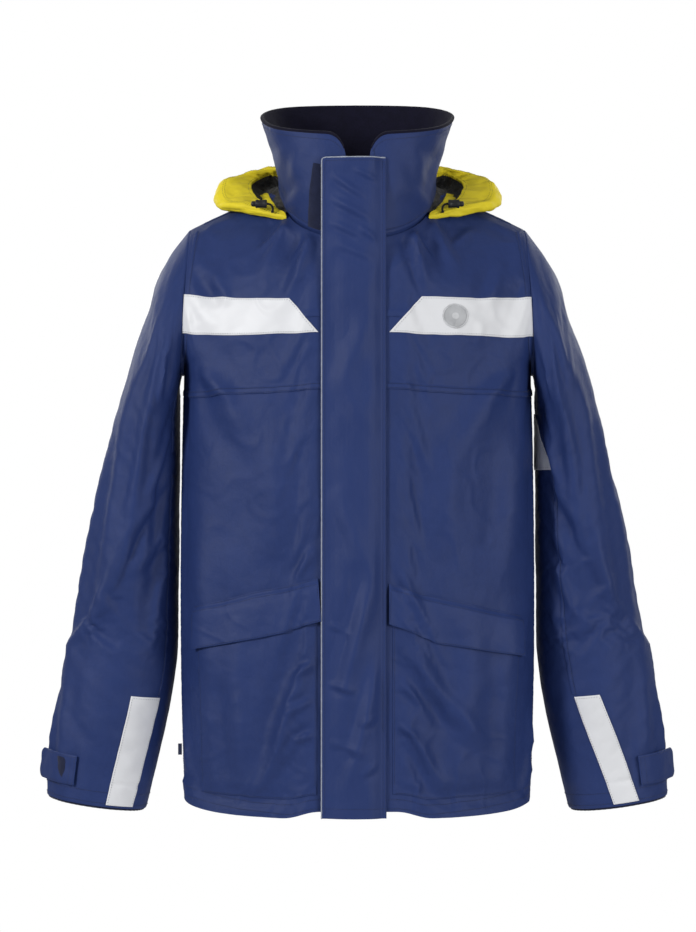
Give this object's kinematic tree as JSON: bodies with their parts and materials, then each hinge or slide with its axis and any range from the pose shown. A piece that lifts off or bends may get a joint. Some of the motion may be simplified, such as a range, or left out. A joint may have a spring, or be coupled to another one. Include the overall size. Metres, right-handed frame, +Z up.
{
  "type": "foul weather jacket",
  "caption": "Hip-length foul weather jacket with storm flap over the zip, stand collar, hood folded behind it, flapped pockets, reflective bands and strapped cuffs.",
  "frame": {"origin": "where a coat hook bears on the hanging loop, inside the back of the neck", "axes": "+Z up, -Y to the front of the jacket, +X to the wearer's left"},
  "size_m": [0.8046, 0.3691, 0.9127],
  "materials": {
    "shell": "semi-matte coated weave",
    "reflective": "retroreflective tape",
    "lining": "matte woven",
    "fleece": "brushed fleece",
    "yellow": "semi-matte coated weave",
    "mesh": "open mesh",
    "zip": "woven tape with coil teeth",
    "nylon": "moulded nylon",
    "metal": "satin",
    "tape": "woven or hook-and-loop tape",
    "piping": "reflective piping",
    "badge": "satin print",
    "cord": "braided cord"
  },
  "bodies": {
    "jacket": {"back_panel": "shell", "badge": "badge", "chest_band_L": "reflective", "chest_band_R": "reflective", "chest_panel_L": "shell", "chest_panel_R": "shell", "collar": "shell", "collar_lining": "fleece", "collar_loop_strip": "tape", "cord_lock_L": "nylon", "cord_lock_R": "nylon", "front_skirt_L": "shell", "front_skirt_R": "shell", "hang_loop": "tape", "hood_back": "yellow", "hood_back_lining": "mesh", "hood_cord_L": "cord", "hood_cord_R": "cord", "hood_wing_L": "yellow", "hood_wing_L_lining": "mesh", "hood_wing_R": "yellow", "hood_wing_R_lining": "mesh", "lining_back": "lining", "lining_front_L": "lining", "lining_front_R": "lining", "pocket_L": "shell", "pocket_R": "shell", "side_label": "tape", "sleeve_cap_L": "shell", "sleeve_cap_R": "shell", "yoke_L": "shell", "yoke_R": "shell", "zip_pin_box": "nylon", "zip_tape_L": "zip", "zip_tape_R": "zip"},
    "storm_flap": {"storm_flap": "shell", "storm_flap_hook_strip": "tape", "storm_flap_piping": "piping"},
    "zip_slider": {"zip_slider": "metal"},
    "zip_puller": {"zip_puller": "metal"},
    "hood": {"hood_rim": "yellow"},
    "pocket_flap_R": {"pocket_flap_R": "shell"},
    "upper_sleeve_R": {"sleeve_upper_R": "shell", "sleeve_elbow_R": "shell", "underarm_band": "reflective"},
    "forearm_R": {"sleeve_forearm_R": "shell", "inner_cuff_R": "lining", "forearm_band_R": "reflective", "cuff_loop_patch_R": "tape"},
    "cuff_tab_R": {"cuff_tab_R": "shell"},
    "plunger_R": {"cord_lock_plunger_R": "nylon"},
    "pocket_flap_L": {"pocket_flap_L": "shell"},
    "upper_sleeve_L": {"sleeve_upper_L": "shell", "sleeve_elbow_L": "shell"},
    "forearm_L": {"sleeve_forearm_L": "shell", "inner_cuff_L": "lining", "forearm_band_L": "reflective", "cuff_loop_patch_L": "tape"},
    "cuff_tab_L": {"cuff_tab_L": "shell"},
    "plunger_L": {"cord_lock_plunger_L": "nylon"}
  },
  "joints": [
    {"name": "storm_flap_hinge", "type": "hinge", "parent": "jacket", "child": "storm_flap", "pos_m": [0.031, -0.20546, -0.43], "axis": [0, 0.0381, 0.9993], "range_deg": [0, 90]},
    {"name": "zip_slide", "type": "slide", "parent": "jacket", "child": "zip_slider", "axis": [0, -0.0381, -0.9993], "range_m": [0, 0.747]},
    {"name": "zip_puller_hinge", "type": "hinge", "parent": "zip_slider", "child": "zip_puller", "pos_m": [0, -0.19452, -0.043], "axis": [-1, 0, 0], "range_deg": [0, 7]},
    {"name": "pocket_flap_hinge_R", "type": "hinge", "parent": "jacket", "child": "pocket_flap_R", "pos_m": [0.12524, -0.19651, -0.55098], "axis": [-0.9423, -0.245, 0.2282], "range_deg": [0, 100]},
    {"name": "pocket_flap_hinge_L", "type": "hinge", "parent": "jacket", "child": "pocket_flap_L", "pos_m": [-0.13026, -0.19473, -0.53998], "axis": [-0.9405, 0.2609, -0.2176], "range_deg": [0, 100]},
    {"name": "shoulder_R", "type": "hinge", "parent": "jacket", "child": "upper_sleeve_R", "pos_m": [0.235, -0.065, -0.19], "axis": [0, -1, 0], "range_deg": [0, 75], "deforming": ["sleeve_cap_R"]},
    {"name": "elbow_R", "type": "hinge", "parent": "upper_sleeve_R", "child": "forearm_R", "pos_m": [0.2815, -0.059, -0.44], "axis": [-1, 0, 0], "range_deg": [0, 80], "deforming": ["sleeve_elbow_R"]},
    {"name": "cuff_tab_hinge_R", "type": "hinge", "parent": "forearm_R", "child": "cuff_tab_R", "pos_m": [0.35072, -0.13595, -0.76674], "axis": [0.1249, 0.0093, -0.9921], "range_deg": [0, 110]},
    {"name": "cord_lock_press_R", "type": "slide", "parent": "jacket", "child": "plunger_R", "axis": [-1, 0, 0], "range_m": [0, 0.003], "stiffness_N_per_m": 250},
    {"name": "shoulder_L", "type": "hinge", "parent": "jacket", "child": "upper_sleeve_L", "pos_m": [-0.235, -0.065, -0.19], "axis": [0, 1, 0], "range_deg": [0, 75], "deforming": ["sleeve_cap_L"]},
    {"name": "elbow_L", "type": "hinge", "parent": "upper_sleeve_L", "child": "forearm_L", "pos_m": [-0.2815, -0.059, -0.44], "axis": [-1, 0, 0], "range_deg": [0, 80], "deforming": ["sleeve_elbow_L"]},
    {"name": "cuff_tab_hinge_L", "type": "hinge", "parent": "forearm_L", "child": "cuff_tab_L", "pos_m": [-0.35072, -0.13595, -0.76674], "axis": [0.1249, -0.0093, 0.9921], "range_deg": [0, 110]},
    {"name": "cord_lock_press_L", "type": "slide", "parent": "jacket", "child": "plunger_L", "axis": [1, 0, 0], "range_m": [0, 0.003], "stiffness_N_per_m": 250},
    {"name": "hood_lift", "type": "hinge", "parent": "jacket", "child": "hood", "pos_m": [0, -0.024, -0.03], "axis": [1, 0, 0], "range_deg": [0, 100], "deforming": ["hood_back", "hood_back_lining"]}
  ]
}
